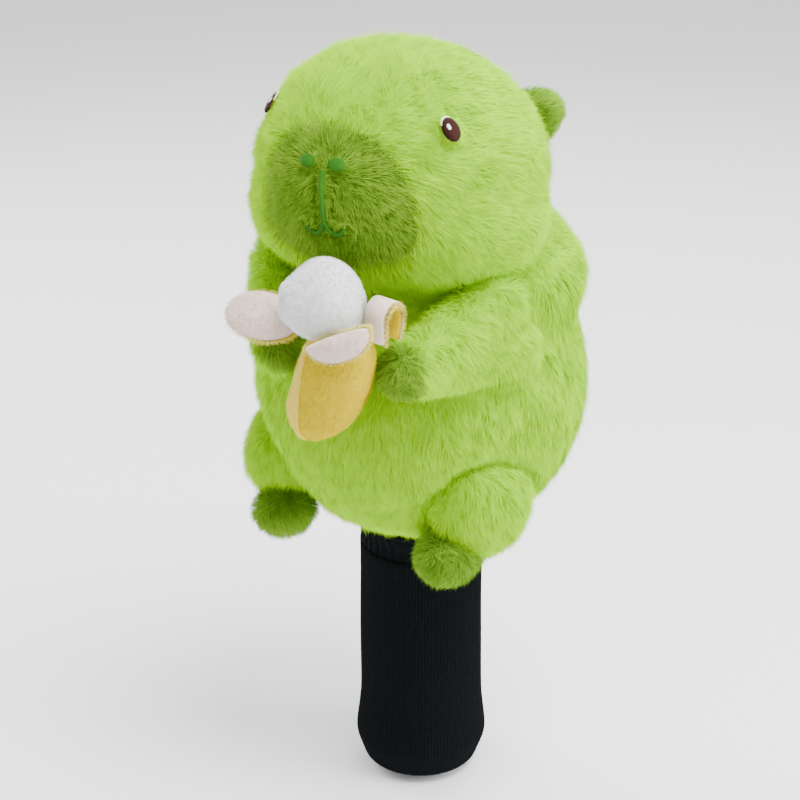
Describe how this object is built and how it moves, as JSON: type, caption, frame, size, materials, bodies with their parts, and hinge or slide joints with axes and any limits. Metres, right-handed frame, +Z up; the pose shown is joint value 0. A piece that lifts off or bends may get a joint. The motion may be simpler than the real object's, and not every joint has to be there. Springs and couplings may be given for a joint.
{
  "type": "driver head cover",
  "caption": "Plush golf driver head cover shaped as a seated capybara hugging a peeled banana, with a padded pocket and a knitted neck sleeve.",
  "frame": {"origin": "centre of the pocket mouth, where the knitted sleeve is sewn to the plush body", "axes": "+Z up the pocket, the way the club head goes in; the face looks along -Y; +X is the animal's left"},
  "size_m": [0.172, 0.2083, 0.3991],
  "materials": {
    "lime_plush": "long pile plush",
    "dark_plush": "long pile plush",
    "stuffing": "polyester fibre",
    "lining": "smooth pocket cloth",
    "knit": "fine rib knit",
    "elastic": "woven elastic",
    "green_thread": "satin stitch",
    "brown_thread": "satin stitch",
    "white_thread": "satin stitch",
    "pale_thread": "satin stitch",
    "peel_plush": "short pile plush",
    "peel_side_plush": "short pile plush",
    "peel_inner": "short pile plush",
    "fruit_plush": "short pile plush"
  },
  "bodies": {
    "cover_body": {"belly_panel": "lime_plush", "back_panel": "lime_plush", "side_panel_left": "lime_plush", "side_panel_right": "lime_plush", "base_panel": "lime_plush", "head_gusset": "lime_plush", "head_side_left": "lime_plush", "head_side_right": "lime_plush", "muzzle_panel": "dark_plush", "muzzle_stuffing": "stuffing", "head_stuffing": "stuffing", "body_padding": "stuffing", "lining_front_left": "lining", "lining_front_right": "lining", "lining_back_left": "lining", "lining_back_right": "lining", "throat_lining": "lining", "pocket_binding": "elastic", "nostril_left": "green_thread", "nostril_right": "green_thread", "mouth_stitch": "green_thread", "eye_left": "brown_thread", "eye_right": "brown_thread", "eye_glint_left": "white_thread", "eye_glint_right": "white_thread", "eye_corner_left": "pale_thread", "eye_corner_right": "pale_thread", "sleeve_gather": "knit"},
    "sleeve": {"sleeve_knit": "knit", "sleeve_lining": "knit", "sleeve_hem": "elastic"},
    "ear_left": {"ear_left_face": "dark_plush", "ear_left_back": "lime_plush"},
    "ear_right": {"ear_right_face": "dark_plush", "ear_right_back": "lime_plush"},
    "arms_and_banana": {"arm_left": "lime_plush", "arm_right": "lime_plush", "paw_left": "dark_plush", "paw_right": "dark_plush", "banana_pod_front": "peel_plush", "banana_pod_side": "peel_side_plush", "banana_stuffing": "stuffing", "banana_fruit": "fruit_plush"},
    "flap_left": {"flap_left_peel": "peel_plush", "flap_left_inner": "peel_inner"},
    "flap_front": {"flap_front_peel": "peel_plush", "flap_front_inner": "peel_inner"},
    "flap_right": {"flap_right_peel": "peel_plush", "flap_right_inner": "peel_inner"},
    "leg_left": {"leg_left": "lime_plush", "foot_left": "dark_plush"},
    "leg_right": {"leg_right": "lime_plush", "foot_right": "dark_plush"}
  },
  "joints": [
    {"name": "sleeve_bend", "type": "hinge", "parent": "cover_body", "child": "sleeve", "pos_m": [0, 0, -0.002], "axis": [1, 0, 0], "range_deg": [-20, 20], "deforming": ["sleeve_gather"]},
    {"name": "arms_hug", "type": "hinge", "parent": "cover_body", "child": "arms_and_banana", "pos_m": [0, -0.022, 0.112], "axis": [1, 0, 0], "range_deg": [-4, 12], "stiffness_Nm_per_rad": 1.2},
    {"name": "ear_left_fold", "type": "hinge", "parent": "cover_body", "child": "ear_left", "pos_m": [0.05, 0.02, 0.213], "axis": [0.5057, 0.1597, -0.8478], "range_deg": [-30, 35], "stiffness_Nm_per_rad": 0.03},
    {"name": "ear_right_fold", "type": "hinge", "parent": "cover_body", "child": "ear_right", "pos_m": [-0.05, 0.02, 0.213], "axis": [0.5057, -0.1597, 0.8478], "range_deg": [-30, 35], "stiffness_Nm_per_rad": 0.03},
    {"name": "flap_left_lift", "type": "hinge", "parent": "arms_and_banana", "child": "flap_left", "pos_m": [-0.008, -0.108, 0.1395], "axis": [0, 1, 0], "range_deg": [0, 25], "stiffness_Nm_per_rad": 0.03},
    {"name": "flap_front_open", "type": "hinge", "parent": "arms_and_banana", "child": "flap_front", "pos_m": [0.02017, -0.12333, 0.13795], "axis": [-0.9397, -0.342, 0], "range_deg": [0, 60], "stiffness_Nm_per_rad": 0.02},
    {"name": "flap_right_lift", "type": "hinge", "parent": "arms_and_banana", "child": "flap_right", "pos_m": [0.035, -0.097, 0.1382], "axis": [0, -1, 0], "range_deg": [0, 15], "stiffness_Nm_per_rad": 0.03},
    {"name": "leg_left_swing", "type": "hinge", "parent": "cover_body", "child": "leg_left", "pos_m": [0.055, -0.03, 0.044], "axis": [1, 0, 0], "range_deg": [-10, 10], "stiffness_Nm_per_rad": 0.5},
    {"name": "leg_right_swing", "type": "hinge", "parent": "cover_body", "child": "leg_right", "pos_m": [-0.055, -0.03, 0.044], "axis": [1, 0, 0], "range_deg": [-10, 10], "stiffness_Nm_per_rad": 0.5}
  ]
}
